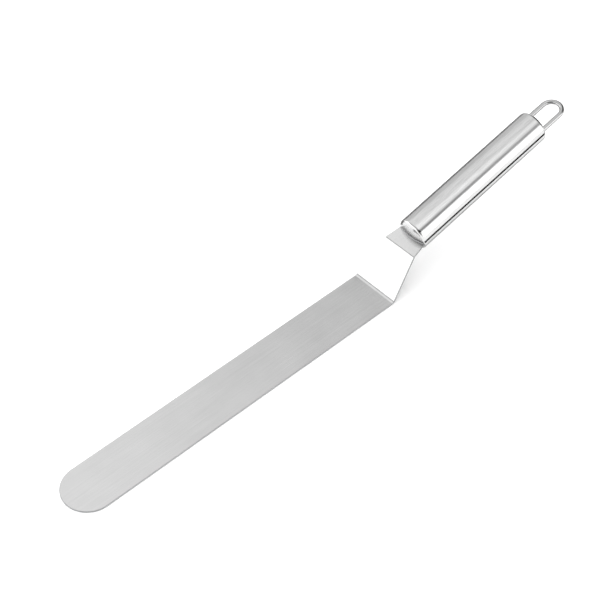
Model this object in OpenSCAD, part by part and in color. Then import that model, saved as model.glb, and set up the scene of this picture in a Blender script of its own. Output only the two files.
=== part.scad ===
// Offset spatula: a round-tipped steel strip with a cranked neck, welded to a closed
// tubular handle that ends in a wire hanging loop.
// Millimetres. The origin is the middle of the blade's flat underside; +X runs along the
// blade towards the handle and +Z points up, away from the surface the blade lies on.

/* [Blade] */
// Length of the flat blade, from the round tip to the heel bend
blade_l = 217; // [120:1:320]
// Width of the flat blade
blade_w = 30; // [24:1:42]
// Thickness of the strip the blade, the crank and the tang are cut from
strip_t = 1; // [0.8:0.1:1.6]

/* [Crank] */
// How far the crank lifts the strip above the blade
crank_rise = 21; // [12:1:35]
// How far the crank runs forward while it rises
crank_run = 19; // [12:1:32]
// Width of the strip at the upper bend
crank_top_w = 22.4; // [20:0.2:24]
// Radius on the inside of the heel bend
heel_r = 2.5; // [1.5:0.5:5]
// Radius on the inside of the upper bend
neck_r = 1.5; // [1:0.5:3]

/* [Tang] */
// Length of the strip between the upper bend and the handle
tang_l = 10; // [8:0.5:20]
// Width of the strip where it meets the handle
tang_w = 19; // [16:0.5:19.4]
// Width of the tongue that passes through the front cap
tongue_w = 14; // [8:0.5:15]
// Length of the tongue inside the handle
tongue_l = 28; // [10:1:60]

/* [Handle] */
// Angle of the handle above the plane of the blade
pitch = 13; // [0:1:25]
// Outside diameter of the handle
handle_d = 20; // [20:0.5:26]
// Length of the handle between the rounded ends
handle_l = 98.5; // [80:0.5:140]
// Wall of the tube and of both caps
wall = 0.8; // [0.6:0.1:1]
// Height of the handle's axis above the top face of the tang
axis_lift = 0.3; // [0:0.1:1]

/* [Caps] */
// Radius of the rounded rim of each cap
knuckle_r = 2; // [1.1:0.1:3]
// Radius of the shallow dome of each cap
crown_r = 31; // [24:1:80]
// Straight skirt of each cap, welded edge to edge to the tube
skirt = 2; // [1:0.5:4]

/* [Hanging loop] */
// Diameter of the wire
wire_d = 3; // [2:0.1:4]
// Distance between the centre lines of the two legs
loop_w = 12.4; // [9:0.2:13]
// Reach of the wire's centre line beyond the end cap
loop_reach = 20; // [12:0.1:35]
// Length of each leg inside the handle
leg_in = 8; // [3:1:20]

/* [Hidden] */
$fn = 96;
bend_steps = 8;
// Clearance of the tongue and the legs in the holes they are welded into
weld_gap = 0.1;
// Length by which cutting tools run past the material
past = 1;

heel_x = blade_l / 2;
tip_x = heel_x - blade_l;
crank_a = atan2(crank_rise, crank_run);

// Corner points of the top face, before the bends are rounded
heel = [heel_x, strip_t];
neck = heel + [crank_run, crank_rise];

// Unit vectors along and square to a slope in the X-Z plane
function along(a) = [cos(a), sin(a)];
function square_to(a) = [-sin(a), cos(a)];

// Centres of the two bends
heel_c = heel + [-heel_r * tan(crank_a / 2), heel_r];
neck_back = (neck_r + strip_t) * tan((crank_a - pitch) / 2);
neck_c = neck - neck_back * along(crank_a) - (neck_r + strip_t) * square_to(crank_a);

// Half angle and height of a cap's dome, which runs smoothly into the rounded rim
crown_a = asin((handle_d / 2 - knuckle_r) / (crown_r - knuckle_r));
crown_h = crown_r - (crown_r - knuckle_r) * cos(crown_a);

// Depth of the cap's rim where the corners of the tang touch it
tang_rim = min(handle_d / 2 - tang_w / 2, knuckle_r);
corner_h = sqrt(pow(knuckle_r, 2) - pow(knuckle_r - tang_rim, 2));

// Where the tube's front edge sits on the handle's axis, seen from the side
tang_end = neck + tang_l * along(pitch);
handle_o = tang_end + axis_lift * square_to(pitch) + corner_h * along(pitch);
tongue_end = handle_o - axis_lift * square_to(pitch) + tongue_l * along(pitch);

// Puts its children on the handle's axis, +Z of the children along the handle
module on_handle() {
    translate([handle_o[0], 0, handle_o[1]])
        rotate([0, 90 - pitch, 0])
            children();
}

// Side view of the strip: blade, heel bend, crank, upper bend, tang and tongue
module strip_side() {
    top_neck = neck_r + strip_t;
    polygon(concat(
        [[tip_x, strip_t]],
        [for (i = [0 : bend_steps]) heel_c - heel_r * square_to(crank_a * i / bend_steps)],
        [for (i = [0 : bend_steps])
            neck_c + top_neck * square_to(crank_a + (pitch - crank_a) * i / bend_steps)],
        [tongue_end, tongue_end - strip_t * square_to(pitch)],
        [for (i = [bend_steps : -1 : 0])
            neck_c + neck_r * square_to(crank_a + (pitch - crank_a) * i / bend_steps)],
        [for (i = [bend_steps : -1 : 0])
            heel_c - (heel_r + strip_t) * square_to(crank_a * i / bend_steps)],
        [[tip_x, 0]]));
}

// Plan view of the visible strip: round tip, parallel blade, tapering crank and tang
module strip_plan() {
    reach = handle_o[0];
    end_w = tang_w + (tang_w - crank_top_w) * (reach - tang_end[0]) / (tang_end[0] - neck[0]);
    translate([tip_x + blade_w / 2, 0])
        circle(d = blade_w);
    translate([tip_x + blade_w / 2, -blade_w / 2])
        square([blade_l - blade_w / 2, blade_w]);
    polygon([[heel_x, -blade_w / 2], [neck[0], -crank_top_w / 2], [reach, -end_w / 2],
        [reach, end_w / 2], [neck[0], crank_top_w / 2], [heel_x, blade_w / 2]]);
}

// Cuts the bent strip to a plan view
module bent_strip() {
    intersection() {
        rotate([90, 0, 0])
            linear_extrude(blade_w + past, center = true)
                strip_side();
        translate([0, 0, -past])
            linear_extrude(tongue_end[1] + 2 * past)
                children();
    }
}

// One strip: flat blade, crank, tang, and the tongue hidden inside the handle
module blade() {
    color("lightsteelblue")
        union() {
            difference() {
                bent_strip()
                    strip_plan();
                on_handle()
                    rotate([180, 0, 0])
                        cap_body(-weld_gap);
            }
            bent_strip()
                translate([neck[0] + tang_l / 2, -tongue_w / 2])
                    square([tongue_end[0] - neck[0], tongue_w]);
        }
}

// Plain tube between the skirts of the two caps
module handle_tube() {
    color("silver")
        on_handle()
            translate([0, 0, skirt])
                difference() {
                    cylinder(d = handle_d, h = handle_l - 2 * skirt);
                    translate([0, 0, -past])
                        cylinder(d = handle_d - 2 * wall, h = handle_l);
                }
}

// Half section of a cap with its surface moved in by inset: skirt, rounded rim and dome
module cap_section(inset, depth) {
    rim_x = handle_d / 2 - knuckle_r;
    translate([0, -depth])
        square([handle_d / 2 - inset, depth]);
    intersection() {
        translate([rim_x, 0])
            circle(r = knuckle_r - inset);
        square([handle_d, crown_h]);
    }
    intersection() {
        translate([0, crown_h - crown_r])
            circle(r = crown_r - inset);
        polygon([[0, 0], [rim_x, 0],
            [rim_x + 2 * knuckle_r * sin(crown_a), 2 * knuckle_r * cos(crown_a)],
            [0, crown_h + past]]);
    }
}

// Solid shape of a cap, its dome towards +Z and the foot of its rounded rim at Z = 0
module cap_body(inset, depth = skirt) {
    rotate_extrude()
        cap_section(inset, depth);
}

// Pressed cap: a straight skirt and a rounded, shallow domed end
module cap_shell() {
    difference() {
        cap_body(0);
        cap_body(wall, skirt + past);
    }
}

// Cap on the blade side, slotted for the tongue
module front_cap() {
    color("gainsboro")
        on_handle()
            rotate([180, 0, 0])
                difference() {
                    cap_shell();
                    translate([axis_lift + strip_t / 2, 0, 0])
                        cube([strip_t + 2 * weld_gap, tongue_w + 2 * weld_gap,
                            2 * (crown_h + skirt)], center = true);
                }
}

// Cap at the butt, drilled for the two legs of the loop
module end_cap() {
    color("gainsboro")
        on_handle()
            translate([0, 0, handle_l])
                difference() {
                    cap_shell();
                    for (side = [-1, 1])
                        translate([0, side * loop_w / 2, 0])
                            cylinder(d = wire_d + 2 * weld_gap, h = crown_h + past);
                }
}

// Wire bent to a U, its legs welded through the end cap
module hanging_loop() {
    bend_z = handle_l + crown_h + loop_reach - loop_w / 2;
    leg_z = handle_l + crown_h - leg_in;
    color("silver")
        on_handle()
            union() {
                for (side = [-1, 1])
                    translate([0, side * loop_w / 2, leg_z])
                        cylinder(d = wire_d, h = bend_z - leg_z);
                translate([0, 0, bend_z])
                    rotate([90, 0, 90])
                        rotate_extrude(angle = 180)
                            translate([loop_w / 2, 0])
                                circle(d = wire_d);
                for (side = [-1, 1])
                    translate([0, side * loop_w / 2, bend_z])
                        cylinder(d = wire_d / 2, h = wire_d / 4, center = true);
            }
}

blade();
handle_tube();
front_cap();
end_cap();
hanging_loop();
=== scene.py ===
# %% [markdown]
# # Offset spatula
# A cake spatula is a small welded assembly: one bent strip of sheet steel, a hollow handle made
# of a tube with two pressed caps, and a bent wire to hang it by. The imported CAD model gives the
# frame: where every piece sits and how big it is. The script keeps that frame and makes each
# piece again with the rounding, the grain and the weld marks that metal really has.

# %% Load the frame
import math

import bmesh
import bpy
import numpy as np
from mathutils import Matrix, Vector


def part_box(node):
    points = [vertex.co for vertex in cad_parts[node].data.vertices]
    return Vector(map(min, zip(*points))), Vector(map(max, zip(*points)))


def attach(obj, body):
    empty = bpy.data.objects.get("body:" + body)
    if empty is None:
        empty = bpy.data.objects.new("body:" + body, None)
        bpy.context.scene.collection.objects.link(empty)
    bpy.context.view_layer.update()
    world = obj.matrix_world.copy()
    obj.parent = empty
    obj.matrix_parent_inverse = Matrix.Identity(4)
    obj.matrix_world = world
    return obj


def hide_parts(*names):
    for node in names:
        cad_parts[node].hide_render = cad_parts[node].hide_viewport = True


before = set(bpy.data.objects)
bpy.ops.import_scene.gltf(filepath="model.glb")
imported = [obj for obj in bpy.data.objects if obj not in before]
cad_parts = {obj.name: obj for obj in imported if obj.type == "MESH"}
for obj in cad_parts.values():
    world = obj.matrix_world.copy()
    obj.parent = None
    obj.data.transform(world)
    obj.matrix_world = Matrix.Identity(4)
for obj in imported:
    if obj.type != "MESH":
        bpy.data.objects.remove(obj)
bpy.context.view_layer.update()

# %% [markdown]
# ## Measuring the CAD pieces
# The handle is tilted, so its box says little about its axis. A tube's corner points lie evenly
# around its axis, so the direction in which they spread furthest is the axis itself: that is
# the first principal component of the points.

# %% Find the handle's axis, radius and ends
MM = 0.001


def cad_points(node):
    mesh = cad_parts[node].data
    points = np.empty(len(mesh.vertices) * 3)
    mesh.vertices.foreach_get("co", points)
    return points.reshape(-1, 3)


tube_points = cad_points("handle_tube")
tube_middle = (tube_points.min(axis=0) + tube_points.max(axis=0)) / 2
spread = np.linalg.svd(tube_points - tube_middle, full_matrices=False)[2]
axis_np = spread[0] * np.sign(spread[0][0])
axis_np[1] = 0
axis_np /= np.linalg.norm(axis_np)


def reach_along(node):
    along = (cad_points(node) - tube_middle) @ axis_np
    return along.min(), along.max()


AXIS = Vector(axis_np)
ACROSS = Vector((0, 1, 0))
ABOVE = AXIS.cross(ACROSS)
MIDDLE = Vector(tube_middle)
PITCH = math.atan2(AXIS.z, AXIS.x)
HANDLE_R = (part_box("handle_tube")[1][1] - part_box("handle_tube")[0][1]) / 2
TUBE_LO, TUBE_HI = reach_along("handle_tube")
CROWN_LO, CROWN_HI = reach_along("front_cap")[0], reach_along("end_cap")[1]
print("pitch", round(math.degrees(PITCH), 2), "radius", round(HANDLE_R / MM, 2),
      "tube", round((TUBE_HI - TUBE_LO) / MM, 2), "with caps", round((CROWN_HI - CROWN_LO) / MM, 2))


def on_handle(along, across, above):
    """A point in the handle's own directions, measured from the middle of the tube."""
    return MIDDLE + AXIS * along + ACROSS * across + ABOVE * above


# %% [markdown]
# ## Materials
# Stainless steel has nearly one base colour everywhere, a little darker on the wire and the weld.
# The cut rim is darker still, and that darker colour is painted shade: it draws the dark line
# along the sheet's edge. What tells the pieces apart is how their surface was worked: the sheet
# keeps the fine lengthwise grain of its brushing belt, the handle is buffed on a wheel until it
# mirrors the room, the drawn wire is bright and smooth, and the sheet's cut rim is dull.
# Colours are written as sRGB hex and turned to linear once.

# %% Colour and node helpers
def linear(hex_colour):
    channels = [int(hex_colour[i:i + 2], 16) / 255 for i in (1, 3, 5)]
    return [c / 12.92 if c <= 0.04045 else ((c + 0.055) / 1.055) ** 2.4 for c in channels] + [1.0]


def add_node(tree, kind, settings=None, **inputs):
    """Adds one node; settings are its properties, inputs are values or sockets to link."""
    node = tree.nodes.new(kind)
    for name, value in (settings or {}).items():
        setattr(node, name, value)
    for name, value in inputs.items():
        socket = node.inputs[int(name[1:])] if name[0] == "i" and name[1:].isdigit() \
            else node.inputs[name.replace("_", " ")]
        if isinstance(value, bpy.types.NodeSocket):
            tree.links.new(value, socket)
        else:
            socket.default_value = value
    return node


def new_material(name):
    material = bpy.data.materials.new(name)
    material.use_nodes = True
    material.node_tree.nodes.clear()
    return material, material.node_tree


# %% [markdown]
# A belt leaves grooves as fine as hairs. Each is a long, thin streak: noise read through
# coordinates that are squeezed across the grain and stretched along it. The streaks move the
# roughness, the tint and the height a little; slow, broad noise adds the cloudy wear of a
# handled tool. A real groove is a tenth of a millimetre wide or less, too fine to see from where
# the camera stands, so the streaks of sheet and tube are drawn about half a millimetre wide.

# %% Steel
NOISE_LOW, NOISE_HIGH = 0.3, 0.7
CLOUD_SIZE = 25 * MM
TINT_MIDDLE = 0.99


def steel(name, colour, roughness, grain_mm, grain_strength, tilt=0.0, cloud=0.04, depth_mm=0.003,
          streak=0.04):
    material, tree = new_material(name)
    place = add_node(tree, "ShaderNodeTexCoord").outputs["Object"]
    turned = add_node(tree, "ShaderNodeMapping", {"vector_type": "POINT"}, Vector=place,
                      Rotation=(0, tilt, 0)).outputs[0]
    width, length = grain_mm
    squeezed = add_node(tree, "ShaderNodeMapping", Vector=turned,
                        Scale=(1 / (length * MM), 1 / (width * MM), 1 / (width * MM))).outputs[0]
    grain = add_node(tree, "ShaderNodeTexNoise", Vector=squeezed, Scale=1.0, Detail=4.0,
                     Roughness=0.6).outputs[0]
    clouds = add_node(tree, "ShaderNodeTexNoise", Vector=turned, Scale=1 / CLOUD_SIZE, Detail=3.0,
                      Roughness=0.5).outputs[0]
    rough = add_node(tree, "ShaderNodeMapRange", Value=grain,
                     From_Min=NOISE_LOW, From_Max=NOISE_HIGH,
                     To_Min=roughness * (1 - grain_strength),
                     To_Max=roughness * (1 + grain_strength))
    worn = add_node(tree, "ShaderNodeMapRange", Value=clouds,
                    From_Min=NOISE_LOW, From_Max=NOISE_HIGH, To_Min=-cloud, To_Max=cloud)
    total = add_node(tree, "ShaderNodeMath", {"operation": "ADD"}, i0=rough.outputs[0],
                     i1=worn.outputs[0])
    streaks = add_node(tree, "ShaderNodeMapRange", Value=grain,
                       From_Min=NOISE_LOW, From_Max=NOISE_HIGH,
                       To_Min=TINT_MIDDLE - streak, To_Max=TINT_MIDDLE + streak)
    tint = add_node(tree, "ShaderNodeMath", {"operation": "ADD"}, i0=streaks.outputs[0],
                    i1=worn.outputs[0])
    shade = add_node(tree, "ShaderNodeVectorMath", {"operation": "SCALE"}, i0=linear(colour)[:3],
                     Scale=tint.outputs[0])
    bump = add_node(tree, "ShaderNodeBump", Strength=1.0, Distance=depth_mm * MM, Height=grain)
    metal = add_node(tree, "ShaderNodeBsdfPrincipled", Metallic=1.0, Base_Color=shade.outputs[0],
                     Roughness=total.outputs[0], Normal=bump.outputs[0])
    add_node(tree, "ShaderNodeOutputMaterial", Surface=metal.outputs[0])
    return material


blade_steel = steel("belt_brushed_stainless_sheet", "#dcdcdc", 0.22, (0.4, 30), 0.10,
                    depth_mm=0.0004)
# The cut rim is rougher than the sheet; its darker colour is painted shade that draws the dark line
# along the sheet's edge.
rim_steel_painted_shade = steel("sheared_rim_painted_shade", "#a6a7a8", 0.40, (0.1, 1.0), 0.2)
handle_steel = steel("buffed_stainless_tube", "#d2d2d2", 0.12, (0.7, 9), 0.3, tilt=PITCH,
                     cloud=0.025, depth_mm=0.0005, streak=0.08)
cap_steel = steel("polished_stainless_cap", "#d4d4d4", 0.12, (0.3, 3), 0.3, tilt=PITCH,
                  cloud=0.015, depth_mm=0.0005)
wire_steel = steel("bright_drawn_wire", "#c0c0c0", 0.10, (0.15, 12), 0.3, tilt=PITCH, cloud=0.01,
                   depth_mm=0.0005)
weld_steel = steel("brushed_weld_bead", "#b0b0b2", 0.45, (0.2, 0.6), 0.3, tilt=PITCH)
print("materials:", [m.name for m in bpy.data.materials])

# %% [markdown]
# ## The blade, as a press shop makes it
# The real blade starts as a flat blank: a long strip with a round tip that narrows towards the
# handle. Its rim is eased, then it is bent twice. The script does the same. It lays out the
# blank on a straight line, gives the rim its rounding, and then bends every point along a path
# of straights and arcs, so both bends keep an even thickness.

# %% The bending path
def node_size(node, side):
    low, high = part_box(node)
    return high[side] - low[side]


BLADE_W = node_size("blade", 1)
TIP_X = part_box("blade")[0][0]
STRIP_T = max(p[2] for p in cad_points("blade") if p[0] < 0)
BLADE_L = -2 * TIP_X
CRANK_RUN, CRANK_RISE = 19 * MM, 21 * MM
CRANK_TOP_W, TANG_W, TONGUE_W = 22.4 * MM, 19 * MM, 14 * MM
TANG_L, TONGUE_L = 10 * MM, 28 * MM
HEEL_R, NECK_R = 2.5 * MM, 1.5 * MM
PAST_END = 20 * MM
crank_angle = math.atan2(CRANK_RISE, CRANK_RUN)
heel_back = HEEL_R * math.tan(crank_angle / 2)
neck_back = (NECK_R + STRIP_T) * math.tan((crank_angle - PITCH) / 2)
path = [
    (BLADE_L - heel_back, 0.0),
    ((HEEL_R + STRIP_T / 2) * crank_angle, crank_angle),
    (math.hypot(CRANK_RUN, CRANK_RISE) - heel_back - neck_back, 0.0),
    ((NECK_R + STRIP_T / 2) * (crank_angle - PITCH), PITCH - crank_angle),
    (TANG_L + TONGUE_L + PAST_END, 0.0),
]


def bend(s, y, h):
    """Where a point of the flat blank ends up: s along it, y across it, h above its middle."""
    x, z, angle = TIP_X, STRIP_T / 2, 0.0
    for length, turn in path:
        step = min(s, length)
        if turn:
            k = turn / length
            x += (math.sin(angle + k * step) - math.sin(angle)) / k
            z += (math.cos(angle) - math.cos(angle + k * step)) / k
            angle += k * step
        else:
            x += step * math.cos(angle)
            z += step * math.sin(angle)
        s -= step
        if s <= 0:
            break
    return x - h * math.sin(angle), y, z + h * math.cos(angle)


# %% Stations along the blank and the strip's half width at each
neck_x = BLADE_L / 2 + CRANK_RUN
tang_end_x = neck_x + TANG_L * math.cos(PITCH)
width_x = [BLADE_L / 2, neck_x, tang_end_x]
width_w = [BLADE_W, CRANK_TOP_W, TANG_W]
TIP_STEPS, BEND_STEPS, FLAT_STEPS = 40, 16, 24
SHOULDER = 0.6 * MM
tang_s = sum(length for length, turn in path[:4]) + TANG_L - neck_back
stations = [(BLADE_W / 2 * (1 - math.cos(a)), BLADE_W / 2 * math.sin(a))
            for a in np.linspace(0, math.pi / 2, TIP_STEPS + 1)]
cuts, start = [], 0.0
for length, turn in path[:4]:
    if turn:
        cuts += list(np.linspace(start, start + length, BEND_STEPS + 1))
    start += length
bends_start, bends_end = cuts[0], cuts[-1]
cuts += list(np.linspace(BLADE_W / 2, bends_start, FLAT_STEPS)[1:-1])
cuts += [bends_end + TANG_L / 3, tang_s + SHOULDER]
for s in sorted(cuts):
    stations.append((s, np.interp(bend(s, 0, 0)[0], width_x, width_w) / 2))
stations += [(tang_s + 2 * SHOULDER, TONGUE_W / 2), (tang_s + TONGUE_L, TONGUE_W / 2)]
print("blank length", round(stations[-1][0] / MM, 1), "mm in", len(stations), "stations")

# %% [markdown]
# The rim is a half round of small radius, so the outline is drawn several times: each ring is
# the outline moved in by the rounding's own circle. The two flat faces span the innermost
# rings, and every face is flagged as flat sheet or as rim so that the rim takes its own
# material: rougher like a cut edge, and darker with painted shade.

# %% Build and bend the blank
EASE_R, EASE_STEPS = 0.22 * MM, 5


def outline(inset):
    """The blank's outline moved in square to itself: tip first, then one side, then the other."""
    side = []
    for i, (s, w) in enumerate(stations):
        s0, w0 = stations[max(i - 1, 0)]
        s1, w1 = stations[min(i + 1, len(stations) - 1)]
        if i == 0:
            w0, s0 = -w1, s1
        run = math.hypot(s1 - s0, w1 - w0)
        side.append((s + inset * (w1 - w0) / run, w - inset * (s1 - s0) / run))
    return side + [(s, -w) for s, w in reversed(side[1:])]


angles = [math.pi / 2 * (1 - i / EASE_STEPS) for i in range(EASE_STEPS + 1)]
rings = [(EASE_R * (1 - math.cos(a)), STRIP_T / 2 - EASE_R * (1 - math.sin(a))) for a in angles]
rings += [(inset, -h) for inset, h in reversed(rings)]
mesh = bmesh.new()
verts = [[mesh.verts.new(bend(s, w, h)) for s, w in outline(inset)] for inset, h in rings]
count, sides = len(verts[0]), len(stations) - 1
for ring, below in zip(verts, verts[1:]):
    for i in range(count):
        j = (i + 1) % count
        mesh.faces.new((ring[i], ring[j], below[j], below[i])).material_index = 1
for ring in (verts[0], verts[-1]):
    mesh.faces.new((ring[0], ring[1], ring[-1]))
    for i in range(1, sides):
        mesh.faces.new((ring[i], ring[i + 1], ring[-i - 1], ring[-i]))
bmesh.ops.recalc_face_normals(mesh, faces=mesh.faces)


def finish_piece(name, mesh, materials, node):
    """Makes the mesh a smooth object with the given materials and hides the CAD node it stands for."""
    data = bpy.data.meshes.new(name)
    mesh.to_mesh(data)
    mesh.free()
    data.shade_smooth()
    piece = bpy.data.objects.new(name, data)
    bpy.context.scene.collection.objects.link(piece)
    for material in materials:
        data.materials.append(material)
    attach(piece, "root")
    if node:
        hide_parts(node)
    print(name, len(data.polygons), "faces")
    return piece


blade = finish_piece("bent_blade", mesh, [blade_steel, rim_steel_painted_shade], "blade")
even = blade.modifiers.new("even_shading", "WEIGHTED_NORMAL")
even.weight = 100

# %% [markdown]
# ## The handle, as a lathe would turn it
# A tube and two pressed caps are all round about one axis, so each is a short profile spun
# about that axis. The cap's profile is a rounded rim that runs smoothly into a shallow dome.
# The spin is dense, because a polished surface shows every facet, and only true corners are
# left sharp.

# %% Profiles and the spin
WALL, KNUCKLE_R, CROWN_R = 0.8 * MM, 2 * MM, 31 * MM
SPIN_STEPS, OUTER_STEPS, INNER_STEPS = 256, 24, 8
POLE_R = 1e-7
SHARP_FROM = math.radians(40)
crown_angle = math.asin((HANDLE_R - KNUCKLE_R) / (CROWN_R - KNUCKLE_R))
CROWN_H = CROWN_R - (CROWN_R - KNUCKLE_R) * math.cos(crown_angle)


def lathe(profile):
    """Spins a closed profile of (along, radius) about the handle's axis."""
    mesh = bmesh.new()
    rings = []
    for along, radius in profile:
        turns = 1 if radius < POLE_R else SPIN_STEPS
        rings.append([mesh.verts.new(on_handle(along, radius * math.cos(2 * math.pi * i / turns),
                                               radius * math.sin(2 * math.pi * i / turns)))
                      for i in range(turns)])
    for ring, after in zip(rings, rings[1:] + rings[:1]):
        for i in range(SPIN_STEPS):
            j = (i + 1) % SPIN_STEPS
            corners = [ring[i % len(ring)], ring[j % len(ring)],
                       after[j % len(after)], after[i % len(after)]]
            corners = [v for n, v in enumerate(corners) if v not in corners[:n]]
            if len(corners) > 2:
                mesh.faces.new(corners)
    bmesh.ops.recalc_face_normals(mesh, faces=mesh.faces)
    for edge in mesh.edges:
        edge.smooth = edge.calc_face_angle(0) < SHARP_FROM
    return mesh


def cap_profile(foot, rim, outwards):
    """Outer dome from the skirt's foot to the pole, then the inner dome back again."""
    def dome(inset, steps):
        knuckle = [((KNUCKLE_R - inset) * math.sin(a),
                    HANDLE_R - KNUCKLE_R + (KNUCKLE_R - inset) * math.cos(a))
                   for a in np.linspace(0, math.pi / 2 - crown_angle, steps)]
        crown = [(CROWN_H - CROWN_R + (CROWN_R - inset) * math.cos(a), (CROWN_R - inset) * math.sin(a))
                 for a in np.linspace(crown_angle, 0, steps)[1:]]
        return [(rim + outwards * a, r) for a, r in knuckle + crown]
    outer, inner = dome(0, OUTER_STEPS), dome(WALL, INNER_STEPS)
    return [(foot, HANDLE_R)] + outer + inner[::-1] + [(foot, HANDLE_R - WALL)]


RIM_LO, RIM_HI = CROWN_LO + CROWN_H, CROWN_HI - CROWN_H
tube_profile = [(TUBE_LO, HANDLE_R), (TUBE_HI, HANDLE_R),
                (TUBE_HI, HANDLE_R - WALL), (TUBE_LO, HANDLE_R - WALL)]
finish_piece("buffed_tube", lathe(tube_profile), [handle_steel], "handle_tube")
finish_piece("domed_front_cap", lathe(cap_profile(TUBE_LO, RIM_LO, -1)), [cap_steel],
             "front_cap")
finish_piece("domed_end_cap", lathe(cap_profile(TUBE_HI, RIM_HI, 1)), [cap_steel],
             "end_cap")

# %% [markdown]
# ## The hanging loop and the weld beads, as swept curves
# A bent wire is one round section carried along a path, which is what Curve to Mesh does. A
# bead of weld is the same thing, only thinner, laid where two pieces meet. One small tree makes
# both: its sizes are inputs, so a maker can try another wire, and it ends by realising the
# geometry and setting the material.

# %% The sweep tree
def tree_input(tree, name, kind):
    return tree.interface.new_socket(name, in_out="INPUT", socket_type=kind).identifier


sweep = bpy.data.node_groups.new("sweep_round_section", "GeometryNodeTree")
tree_input(sweep, "Path", "NodeSocketGeometry")
diameter_id = tree_input(sweep, "Diameter", "NodeSocketFloat")
facets_id = tree_input(sweep, "Facets round the section", "NodeSocketInt")
finish_id = tree_input(sweep, "Finish", "NodeSocketMaterial")
sweep.interface.new_socket("Swept", in_out="OUTPUT", socket_type="NodeSocketGeometry")
given = add_node(sweep, "NodeGroupInput")
half = add_node(sweep, "ShaderNodeMath", {"operation": "MULTIPLY"},
                i0=given.outputs["Diameter"], i1=0.5)
section = add_node(sweep, "GeometryNodeCurvePrimitiveCircle",
                   Resolution=given.outputs["Facets round the section"], Radius=half.outputs[0])
swept = add_node(sweep, "GeometryNodeCurveToMesh", Curve=given.outputs["Path"],
                 Profile_Curve=section.outputs[0], Fill_Caps=True)
smooth = add_node(sweep, "GeometryNodeSetShadeSmooth", Geometry=swept.outputs[0])
real = add_node(sweep, "GeometryNodeRealizeInstances", Geometry=smooth.outputs[0])
painted = add_node(sweep, "GeometryNodeSetMaterial", Geometry=real.outputs[0],
                   Material=given.outputs["Finish"])
add_node(sweep, "NodeGroupOutput", Swept=painted.outputs[0])
print("sweep tree:", [node.bl_idname for node in sweep.nodes])


# %% Run the tree on a list of paths and keep the result as a plain mesh
SAME_POINT = 1e-6


def sweep_paths(paths, diameter, facets, finish):
    """Sweeps a round section along (points, closed) paths given in the handle's directions."""
    curve = bpy.data.curves.new("guide", "CURVE")
    curve.dimensions = "3D"
    for points, closed in paths:
        spline = curve.splines.new("POLY")
        spline.use_cyclic_u = closed
        spline.points.add(len(points) - 1)
        for point, place in zip(spline.points, points):
            point.co = (*on_handle(*place), 1)
    guide = bpy.data.objects.new("guide", curve)
    bpy.context.scene.collection.objects.link(guide)
    modifier = guide.modifiers.new("sweep", "NODES")
    modifier.node_group = sweep
    modifier[diameter_id], modifier[facets_id], modifier[finish_id] = diameter, facets, finish
    evaluated = guide.evaluated_get(bpy.context.evaluated_depsgraph_get())
    mesh = bmesh.new()
    mesh.from_mesh(bpy.data.meshes.new_from_object(evaluated))
    bpy.data.objects.remove(guide)
    bmesh.ops.remove_doubles(mesh, verts=mesh.verts, dist=SAME_POINT)
    bmesh.ops.recalc_face_normals(mesh, faces=mesh.faces)
    for edge in mesh.edges:
        edge.smooth = edge.calc_face_angle(0) < SHARP_FROM
    return mesh


# %% The hanging wire
WIRE_D, WIRE_FACETS = 3 * MM, 48
LOOP_W = node_size("hanging_loop", 1) - WIRE_D
loop_lo, loop_hi = reach_along("hanging_loop")
ARC_STEPS = 48
arc_middle = loop_hi - WIRE_D / 2 - LOOP_W / 2
wire_path = [(loop_lo, LOOP_W / 2, 0)]
wire_path += [(arc_middle + LOOP_W / 2 * math.sin(a), LOOP_W / 2 * math.cos(a), 0)
              for a in np.linspace(0, math.pi, ARC_STEPS + 1)]
wire_path.append((loop_lo, -LOOP_W / 2, 0))
finish_piece("hanging_wire", sweep_paths([(wire_path, False)], WIRE_D, WIRE_FACETS, wire_steel),
             [wire_steel], "hanging_loop")

# %% [markdown]
# The tang and the wire's legs are welded to the caps. Each bead follows the line in which the
# two shapes meet, so its path is worked out from the cap's own rounding: how far the dome
# stands out at a given distance from the axis.

# %% The weld beads
def cap_depth(radius):
    """How far a cap stands out beyond the foot of its rim, this far from the axis."""
    if radius < CROWN_R * math.sin(crown_angle):
        return CROWN_H - CROWN_R + math.sqrt(CROWN_R ** 2 - radius ** 2)
    return math.sqrt(max(KNUCKLE_R ** 2 - (radius - HANDLE_R + KNUCKLE_R) ** 2, 0))


AXIS_LIFT = 0.3 * MM
BEAD_D, BEAD_FACETS = 0.6 * MM, 12
TANG_BEAD_STEPS, LEG_BEAD_STEPS = 40, 32
beads = []
for face in (-AXIS_LIFT, -AXIS_LIFT - STRIP_T):
    beads.append(([(RIM_LO - cap_depth(math.hypot(y, face)), y, face)
                   for y in np.linspace(-TANG_W / 2, TANG_W / 2, TANG_BEAD_STEPS + 1)], False))
for side in (-1, 1):
    ring = [(side * LOOP_W / 2 + WIRE_D / 2 * math.cos(a), WIRE_D / 2 * math.sin(a))
            for a in np.linspace(0, 2 * math.pi, LEG_BEAD_STEPS + 1)[:-1]]
    beads.append(([(RIM_HI + cap_depth(math.hypot(y, z)), y, z) for y, z in ring], True))
finish_piece("weld_beads", sweep_paths(beads, BEAD_D, BEAD_FACETS, weld_steel), [weld_steel],
             None)

# %% [markdown]
# ## Studio
# The tool lies on a pale table in an even, bright room. Polished steel shows nothing but its
# surroundings, so the room is painted with care: soft bright panels overhead and to the sides,
# calmer grey between them and a few places left unlit.

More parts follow.
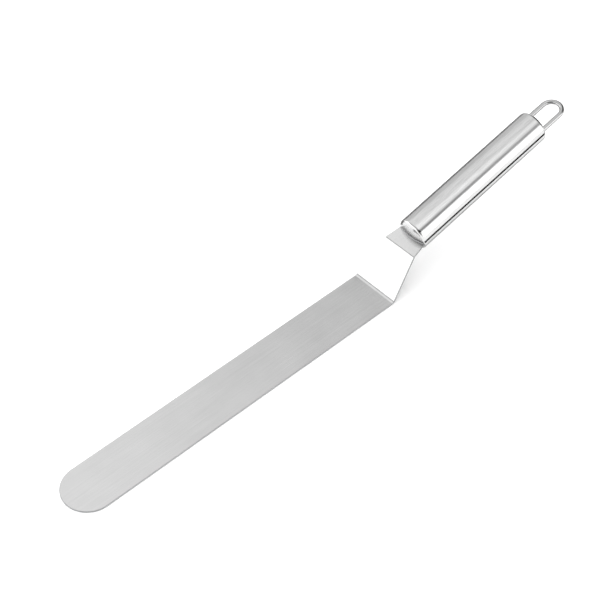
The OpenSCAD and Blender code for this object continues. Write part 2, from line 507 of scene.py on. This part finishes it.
# %% Floor
FLOOR, FLOOR_Z = 3.0, -0.02 * MM
CORNERS = ((-1, -1), (1, -1), (1, 1), (-1, 1))
floor_mesh = bpy.data.meshes.new("table")
floor_mesh.from_pydata([(x * FLOOR, y * FLOOR, FLOOR_Z) for x, y in CORNERS], [], [(0, 1, 2, 3)])
floor = bpy.data.objects.new("table", floor_mesh)
bpy.context.scene.collection.objects.link(floor)
table_material, tree = new_material("matt_white_table")
paint = add_node(tree, "ShaderNodeBsdfPrincipled", Base_Color=linear("#f4f4f4"), Roughness=0.9)
add_node(tree, "ShaderNodeOutputMaterial", Surface=paint.outputs[0])
floor_mesh.materials.append(table_material)

# %% [markdown]
# The room is an even grey with soft round patches, some brighter and some darker. A tube keeps
# the view's lean along its axis when it mirrors, so the directions it shows the camera lie on
# one cone about the axis, and a patch meant for the handle is placed by its turn on that cone.

# %% Room: a painted sky of soft patches
VIEW_LEAN = 0.283


def unit(x, y, z):
    return Vector((x, y, z)).normalized()


def round_handle(turn):
    """A direction the handle mirrors to the camera: its turn about the axis, 0 at +Y, 90 up."""
    a = math.radians(turn)
    side = math.sqrt(1 - VIEW_LEAN * VIEW_LEAN)
    return AXIS * VIEW_LEAN + (ACROSS * math.cos(a) + ABOVE * math.sin(a)) * side


ROOM_GREY, DARKEST = 0.60, 0.02
patches = [
    # direction, half angle in degrees, softness in degrees, brightness beside the grey room's
    (unit(-0.10, 0.45, 0.887), 20, 22, 0.42),
    (round_handle(108), 6, 22, 0.72),
    (round_handle(178), 25, 13, 1.4),
    (unit(0.90, -0.02, 0.40), 26, 12, -0.52),
    (unit(-0.78, -0.47, 0.36), 14, 12, -0.4),
    (unit(0.20, 0.95, 0.20), 20, 25, 0.15),
]
world = bpy.data.worlds.new("soft_room")
bpy.context.scene.world = world
world.use_nodes = True
world.node_tree.nodes.clear()
tree = world.node_tree
looking = add_node(tree, "ShaderNodeTexCoord").outputs["Generated"]


def soft_patch(direction, half_angle, soft, gain):
    """Brightness of a round patch of the room that fades out over its soft edge."""
    facing = add_node(tree, "ShaderNodeVectorMath", {"operation": "DOT_PRODUCT"}, i0=looking,
                      i1=tuple(direction))
    away = add_node(tree, "ShaderNodeMath", {"operation": "ARCCOSINE"}, i0=facing.outputs["Value"])
    return add_node(tree, "ShaderNodeMapRange", {"interpolation_type": "SMOOTHSTEP"},
                    Value=away.outputs[0], From_Min=math.radians(half_angle),
                    From_Max=math.radians(half_angle + soft), To_Min=gain, To_Max=0.0).outputs[0]


glow = ROOM_GREY
for patch in patches:
    glow = add_node(tree, "ShaderNodeMath", {"operation": "ADD"}, i0=glow,
                    i1=soft_patch(*patch)).outputs[0]

# %% [markdown]
# The crank leans back towards the tip, so it mirrors what stands beyond the tip: a white wall.
# Above the wall's top edge the room is dim, and that dim strip draws the thin dark line in each
# bend. Each band below has a brightness, the height in degrees up to which it is full, and the
# height by which it has faded.

# %% The white wall beyond the tip and the dim strip above it
WALL_FACES, WALL_HALF_WIDTH, WALL_SOFT = unit(-0.84, 0.54, 0.0), 48, 6
bands = [(1.9, 33, 35), (-0.30, 39, 42), (-0.45, 50, 64)]
height = add_node(tree, "ShaderNodeSeparateXYZ", Vector=looking).outputs["Z"]
wall_side = 0.0
for gain, full_to, gone_by in bands:
    band = add_node(tree, "ShaderNodeMapRange", {"interpolation_type": "SMOOTHSTEP"}, Value=height,
                    From_Min=math.sin(math.radians(full_to)), From_Max=math.sin(math.radians(gone_by)),
                    To_Min=gain, To_Max=0.0)
    wall_side = add_node(tree, "ShaderNodeMath", {"operation": "ADD"}, i0=wall_side,
                         i1=band.outputs[0]).outputs[0]
wall_seen = add_node(tree, "ShaderNodeMath", {"operation": "MULTIPLY"}, i0=wall_side,
                     i1=soft_patch(WALL_FACES, WALL_HALF_WIDTH, WALL_SOFT, 1.0))
glow = add_node(tree, "ShaderNodeMath", {"operation": "ADD"}, i0=glow,
                i1=wall_seen.outputs[0]).outputs[0]

# %% [markdown]
# A dark stripe runs down the side of the room that the handle's flank mirrors. It is the part of
# a great circle between two directions: narrow across, and faded out along by one soft patch.
# The patch sits nearer the upper end, so the stripe is darkest there.

# %% The dark stripe
STRIPE_FULL, STRIPE_GONE = math.radians(5), math.radians(12)
STRIPE_HALF_LENGTH, STRIPE_SOFT, STRIPE_GAIN = 12, 26, -0.7
STRIPE_BIAS = 0.6
stripe_start, stripe_end = unit(0.12, -0.67, 0.73), unit(-0.78, -0.47, 0.36)
stripe_pole = stripe_start.cross(stripe_end).normalized()
stripe_middle = (stripe_start + stripe_end * STRIPE_BIAS).normalized()
beside = add_node(tree, "ShaderNodeVectorMath", {"operation": "DOT_PRODUCT"}, i0=looking,
                  i1=tuple(stripe_pole))
off_line = add_node(tree, "ShaderNodeMath", {"operation": "ABSOLUTE"}, i0=beside.outputs["Value"])
narrow = add_node(tree, "ShaderNodeMapRange", {"interpolation_type": "SMOOTHSTEP"},
                  Value=off_line.outputs[0], From_Min=math.sin(STRIPE_FULL),
                  From_Max=math.sin(STRIPE_GONE), To_Min=1.0, To_Max=0.0)
stripe = add_node(tree, "ShaderNodeMath", {"operation": "MULTIPLY"}, i0=narrow.outputs[0],
                  i1=soft_patch(stripe_middle, STRIPE_HALF_LENGTH, STRIPE_SOFT, STRIPE_GAIN))
total = add_node(tree, "ShaderNodeMath", {"operation": "ADD"}, i0=glow, i1=stripe.outputs[0])
lit = add_node(tree, "ShaderNodeMath", {"operation": "MAXIMUM"}, i0=total.outputs[0], i1=DARKEST)
sky = add_node(tree, "ShaderNodeBackground", Color=(1, 1, 1, 1), Strength=lit.outputs[0])
add_node(tree, "ShaderNodeOutputWorld", Surface=sky.outputs[0])

# %% [markdown]
# The table needs more light than the painted room gives. One very wide disk overhead adds it and
# keeps the shadows faint. The steel doesn't mirror the disk, so the painted room stays in charge
# of the reflections.

# %% Fill light for the table
FILL_DIAMETER, FILL_WATTS, FILL_PLACE = 4.0, 42, (0.1, 0.1, 1.2)
fill = bpy.data.lights.new("overhead_fill", "AREA")
fill.shape, fill.size, fill.energy = "DISK", FILL_DIAMETER, FILL_WATTS
fill_lamp = bpy.data.objects.new("overhead_fill", fill)
fill_lamp.location = FILL_PLACE
fill_lamp.visible_glossy = fill_lamp.visible_camera = False
bpy.context.scene.collection.objects.link(fill_lamp)

# %% [markdown]
# Polished tube has no outline of its own against a white table. A studio lays narrow cards along
# it, low on each side, and their reflections draw the thin lines near its edges. Only the
# reflections are wanted: the cards cast no shadow and the camera doesn't see them.

# %% Cards along the handle
CARD_LO, CARD_HI = CROWN_LO - 12 * MM, loop_hi + 20 * MM


def card(name, turn, distance, half_w, colour):
    """A card beside the handle: its turn about the axis in degrees, 0 at +Y and 90 upwards."""
    out = ACROSS * math.cos(math.radians(turn)) + ABOVE * math.sin(math.radians(turn))
    side = out.cross(AXIS)
    corners = [MIDDLE + out * distance + AXIS * along + side * across
               for along, across in ((CARD_LO, -half_w), (CARD_HI, -half_w),
                                     (CARD_HI, half_w), (CARD_LO, half_w))]
    mesh = bpy.data.meshes.new(name)
    mesh.from_pydata([tuple(corner) for corner in corners], [], [(0, 1, 2, 3)])
    piece = bpy.data.objects.new(name, mesh)
    bpy.context.scene.collection.objects.link(piece)
    material, tree = new_material(name + "_board")
    paint = add_node(tree, "ShaderNodeBsdfPrincipled", Base_Color=linear(colour), Roughness=0.9)
    add_node(tree, "ShaderNodeOutputMaterial", Surface=paint.outputs[0])
    mesh.materials.append(material)
    piece.visible_camera = piece.visible_diffuse = piece.visible_shadow = False


card("dark_card", 210, 35 * MM, 5 * MM, "#141414")
card("grey_card", -12, 30 * MM, 12 * MM, "#8c8c8c")
card("pale_card", 242, 20 * MM, 6 * MM, "#cccccc")

# %% [markdown]
# The camera stands well back and looks down from beside the tip, with a long lens so that the
# straight blade and handle keep nearly parallel sides.

# %% Camera
camera = bpy.data.cameras.new("camera")
camera.lens, camera.sensor_width = 89.3, 36
camera.clip_start, camera.clip_end = 0.01, 20
viewer = bpy.data.objects.new("camera", camera)
bpy.context.scene.collection.objects.link(viewer)
turn, rise, distance = math.radians(47.3), math.radians(47.3), 0.838
aim = Vector((0.0721, 0.0229, 0))
back = Vector((-math.cos(turn) * math.cos(rise), -math.sin(turn) * math.cos(rise), math.sin(rise)))
viewer.location = aim + back * distance
viewer.rotation_mode = "QUATERNION"
viewer.rotation_quaternion = (-back).to_track_quat("-Z", "Y")
bpy.context.scene.camera = viewer
bpy.context.scene.view_settings.view_transform = "Standard"
